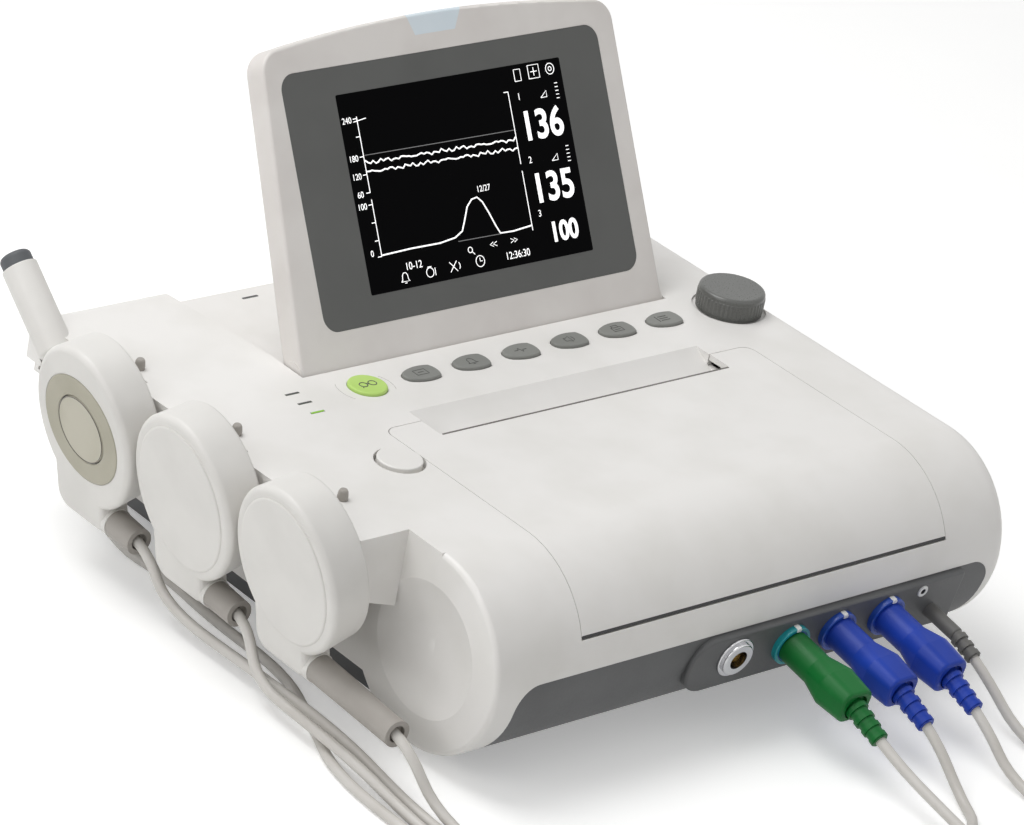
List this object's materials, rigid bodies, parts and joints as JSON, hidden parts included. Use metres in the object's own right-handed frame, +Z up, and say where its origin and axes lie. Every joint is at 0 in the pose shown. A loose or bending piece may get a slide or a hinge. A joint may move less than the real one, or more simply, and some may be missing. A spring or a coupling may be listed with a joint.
{
  "type": "fetal monitor",
  "caption": "Low tabletop monitor with a fold-flat screen, keys, knob, paper door, and a side ledge parking plugged-in corded transducers and an event marker.",
  "frame": {"origin": "on the table, under the middle of the object's footprint without its cords and plugs", "axes": "+Z up, -Y towards the user (front roll and sockets), +X to the user's right"},
  "size_m": [0.3806, 0.6258, 0.2322],
  "materials": {
    "case_white": "fine satin",
    "base_grey": "fine satin",
    "screen_white": "satin",
    "lens_grey": "semi-gloss",
    "display": "gloss, lit",
    "light_blue": "translucent",
    "key_green": "matt",
    "key_grey": "matt",
    "knob_grey": "satin",
    "light_pipe": "translucent",
    "probe_white": "satin",
    "beige": "matt",
    "sleeve_grey": "matt",
    "cord_grey": "satin",
    "button_dark": "matt",
    "socket_blue": "semi-gloss",
    "plug_green": "satin",
    "plug_blue": "satin",
    "plug_grey": "matt",
    "nut_steel": "polished",
    "steel": "plain",
    "foot_rubber": "matt",
    "board_green": "satin",
    "silicone": "matt",
    "black_plastic": "matt",
    "battery_blue": "satin",
    "psu_metal": "plain",
    "paper": "matt"
  },
  "bodies": {
    "housing": {"upper_housing": "case_white", "lower_housing": "base_grey", "side_dishes": "case_white", "transducer_holder": "case_white", "connector_panel": "base_grey", "hinge_pins": "steel", "key_mat": "silicone", "keypad_board": "board_green", "encoder": "steel", "status_lights": "light_pipe", "printer_frame": "black_plastic", "print_head": "psu_metal", "feed_motor": "steel", "paper_pack": "paper", "main_board": "board_green", "power_supply": "psu_metal", "battery_pack": "battery_blue", "speaker": "black_plastic", "mains_inlet": "black_plastic", "audio_jack": "nut_steel", "probe_sockets": "socket_blue", "toco_plug": "plug_green", "doppler_plug_1": "plug_blue", "doppler_plug_2": "plug_blue", "marker_plug": "plug_grey", "toco_transducer": "probe_white", "doppler_transducer_1": "probe_white", "doppler_transducer_2": "probe_white", "cable_sleeves": "sleeve_grey", "marker_body": "probe_white", "feet": "foot_rubber", "housing_screws": "steel", "toco_cable": "cord_grey", "toco_coil": "cord_grey", "doppler_1_cable": "cord_grey", "doppler_1_coil": "cord_grey", "doppler_2_cable": "cord_grey", "doppler_2_coil": "cord_grey", "marker_cable": "cord_grey", "marker_coil": "cord_grey"},
    "screen": {"screen_frame": "screen_white", "screen_cover": "screen_white", "screen_lens": "lens_grey", "display_module": "display", "alarm_light": "light_blue"},
    "start_key": {"start_key": "key_green"},
    "control_knob": {"control_knob": "knob_grey"},
    "paper_door": {"paper_door": "case_white"},
    "latch": {"latch_button": "case_white", "latch_spring": "steel"},
    "platen_roller": {"platen_roller": "foot_rubber"},
    "toco_plunger": {"toco_plunger": "beige"},
    "marker_button": {"marker_button": "button_dark"},
    "power_switch": {"power_switch": "black_plastic"},
    "key_1": {"key_1": "key_grey"},
    "key_2": {"key_2": "key_grey"},
    "key_3": {"key_3": "key_grey"},
    "key_4": {"key_4": "key_grey"},
    "key_5": {"key_5": "key_grey"},
    "key_6": {"key_6": "key_grey"}
  },
  "joints": [
    {"name": "screen_tilt", "type": "hinge", "parent": "housing", "child": "screen", "pos_m": [0.03075, 0.05186, 0.09632], "axis": [1, 0, 0], "range_deg": [-59.5, 0]},
    {"name": "start_key_press", "type": "slide", "parent": "housing", "child": "start_key", "axis": [0, 0, -1], "range_m": [0, 0.0012], "stiffness_N_per_m": 400, "springref_m": -0.001},
    {"name": "key_1_press", "type": "slide", "parent": "housing", "child": "key_1", "axis": [0, 0, -1], "range_m": [0, 0.0012], "stiffness_N_per_m": 400, "springref_m": -0.001},
    {"name": "key_2_press", "type": "slide", "parent": "housing", "child": "key_2", "axis": [0, 0, -1], "range_m": [0, 0.0012], "stiffness_N_per_m": 400, "springref_m": -0.001},
    {"name": "key_3_press", "type": "slide", "parent": "housing", "child": "key_3", "axis": [0, 0, -1], "range_m": [0, 0.0012], "stiffness_N_per_m": 400, "springref_m": -0.001},
    {"name": "key_4_press", "type": "slide", "parent": "housing", "child": "key_4", "axis": [0, 0, -1], "range_m": [0, 0.0012], "stiffness_N_per_m": 400, "springref_m": -0.001},
    {"name": "key_5_press", "type": "slide", "parent": "housing", "child": "key_5", "axis": [0, 0, -1], "range_m": [0, 0.0012], "stiffness_N_per_m": 400, "springref_m": -0.001},
    {"name": "key_6_press", "type": "slide", "parent": "housing", "child": "key_6", "axis": [0, 0, -1], "range_m": [0, 0.0012], "stiffness_N_per_m": 400, "springref_m": -0.001},
    {"name": "knob_turn", "type": "hinge", "parent": "housing", "child": "control_knob", "pos_m": [0.16855, 0.02491, 0.105], "axis": [0, 0, 1], "continuous": true},
    {"name": "latch_press", "type": "slide", "parent": "housing", "child": "latch", "axis": [0, 0, -1], "range_m": [0, 0.002], "stiffness_N_per_m": 500, "springref_m": -0.002},
    {"name": "door_open", "type": "hinge", "parent": "housing", "child": "paper_door", "pos_m": [0.03425, -0.15358, 0.07043], "axis": [1, 0, 0], "range_deg": [0, 80]},
    {"name": "roller_turn", "type": "hinge", "parent": "housing", "child": "platen_roller", "pos_m": [0.02075, -0.03339, 0.08], "axis": [1, 0, 0], "continuous": true},
    {"name": "plunger_press", "type": "slide", "parent": "housing", "child": "toco_plunger", "axis": [0.9715, 0, 0.2368], "range_m": [0, 0.001], "stiffness_N_per_m": 900, "springref_m": -0.001},
    {"name": "marker_press", "type": "slide", "parent": "housing", "child": "marker_button", "axis": [0.0312, -0.7765, -0.6293], "range_m": [0, 0.0015], "stiffness_N_per_m": 500, "springref_m": -0.001},
    {"name": "power_rock", "type": "hinge", "parent": "housing", "child": "power_switch", "pos_m": [0.06575, 0.14301, 0.026], "axis": [1, 0, 0], "range_deg": [-7, 7]}
  ]
}
